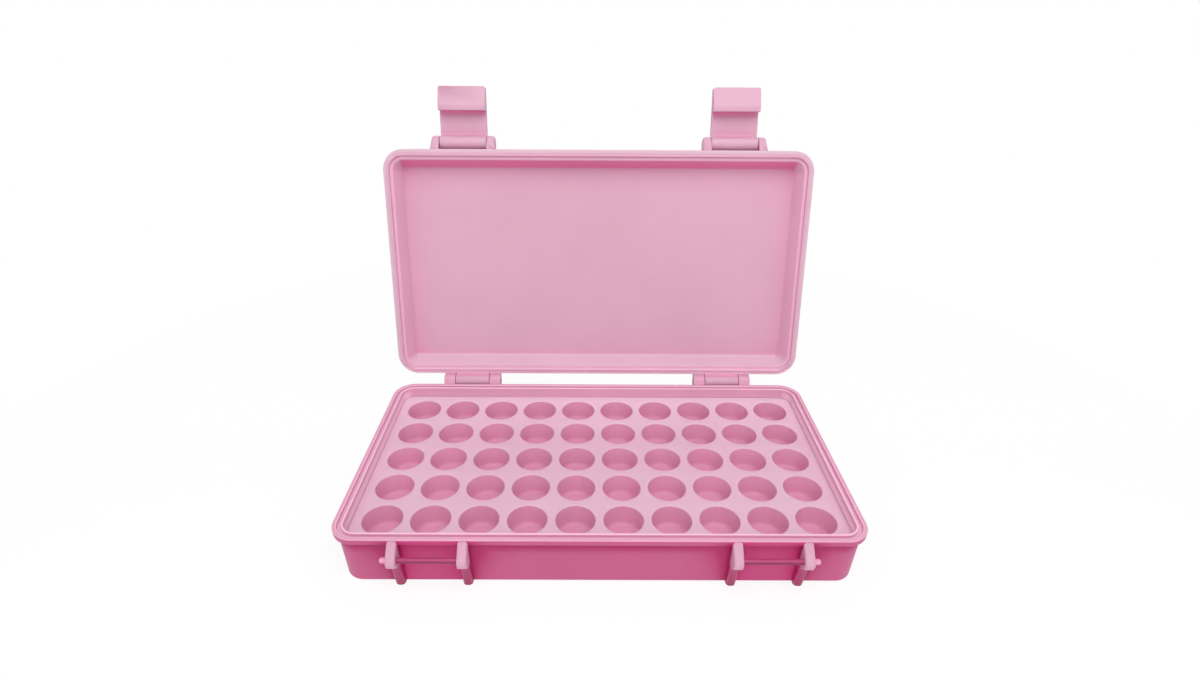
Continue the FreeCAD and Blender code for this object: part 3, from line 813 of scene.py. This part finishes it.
floor_mesh = bpy.data.meshes.new("floor")
corners = [(-FLOOR_REACH, -FLOOR_REACH, 0), (FLOOR_REACH, -FLOOR_REACH, 0),
           (FLOOR_REACH, FLOOR_REACH, 0), (-FLOOR_REACH, FLOOR_REACH, 0)]
floor_mesh.from_pydata(corners, [], [(0, 1, 2, 3)])
floor_mesh.materials.append(floor_material())
floor = bpy.data.objects.new("floor", floor_mesh)
bpy.context.scene.collection.objects.link(floor)
print("floor:", 2 * FLOOR_REACH, "m wide")

# %% [markdown]
# ## The light
# The shadows in the photograph are faint and wide, so most of the light comes from all round: a white tent,
# here the world, at about half strength. One large softbox above shapes the box, and a weaker one in front
# fills the walls that face the camera. A sun or a spot would draw hard shadows that the photograph lacks.

# %% The world
DOME = 0.54

world = bpy.data.worlds.new("studio")
bpy.context.scene.world = world
world.use_nodes = True
tent = world.node_tree
tent.nodes.clear()
level = add(tent, "ShaderNodeMix", {"A": DOME, "B": 1.0, "Factor": seen_rays(tent)}, data_type="FLOAT")
sky = add(tent, "ShaderNodeBackground", {"Color": linear("FFFFFF"), "Strength": level.outputs["Result"]})
add(tent, "ShaderNodeOutputWorld", {"Surface": sky.outputs["Background"]})
print("light from all round:", DOME)

# %% Lamps


def softbox(name, place, aim, width, height, watts):
    """A rectangular area lamp that looks at a point. Lengths are in metres."""
    lamp = bpy.data.lights.new(name, "AREA")
    lamp.shape = "RECTANGLE"
    lamp.size = width
    lamp.size_y = height
    lamp.energy = watts
    box = bpy.data.objects.new(name, lamp)
    box.location = place
    box.rotation_euler = (Vector(aim) - Vector(place)).to_track_quat("-Z", "Y").to_euler()
    bpy.context.scene.collection.objects.link(box)
    print(name, watts, "W")


softbox("overhead_softbox", place=(0.05, -0.42, 1.0), aim=(0, 0.02, 0.05), width=0.9, height=0.7, watts=7.4)
softbox("front_fill", place=(-0.1, -1.05, 0.45), aim=(0, 0.02, 0.08), width=1.2, height=0.6, watts=2.0)

# %% [markdown]
# ## The camera
# A camera can be placed by eye, but fifty equal circles on a known pitch fix it far better, so the lens and
# the place were solved from the grid of wells. The camera stands about 0.4 m from the middle of the box and
# looks down by 32 degrees through a wide lens. The centre of the lens lies a little off the centre of the
# picture, which the shift makes up for.

# %% Camera
PHOTO_WIDTH = 1200
PHOTO_HEIGHT = 675
FOCAL_PIXELS = 634.54
PRINCIPAL_X = 589.33
PRINCIPAL_Y = 384.62
SENSOR = 36.0
CAMERA_PLACE = (-6.75 * mm, -295.72 * mm, 263.58 * mm)
LOOK_DOWN = math.radians(32.2074)
YAW = math.radians(-0.1825)
ROLL = math.radians(0.2409)

camera_data = bpy.data.cameras.new("camera")
camera_data.sensor_width = SENSOR
camera_data.lens = FOCAL_PIXELS / PHOTO_WIDTH * SENSOR
camera_data.shift_x = (PHOTO_WIDTH / 2 - PRINCIPAL_X) / PHOTO_WIDTH
camera_data.shift_y = (PRINCIPAL_Y - PHOTO_HEIGHT / 2) / PHOTO_WIDTH
camera_data.clip_start = 0.01
camera = bpy.data.objects.new("camera", camera_data)
bpy.context.scene.collection.objects.link(camera)
tilt = Matrix.Rotation(math.pi / 2 - LOOK_DOWN, 4, "X")
turn = tilt @ Matrix.Rotation(YAW, 4, "Y") @ Matrix.Rotation(ROLL, 4, "Z")
camera.matrix_world = Matrix.Translation(CAMERA_PLACE) @ turn
bpy.context.scene.camera = camera
bpy.context.scene.view_settings.view_transform = "Standard"
print("lens:", round(camera_data.lens, 2), "mm")
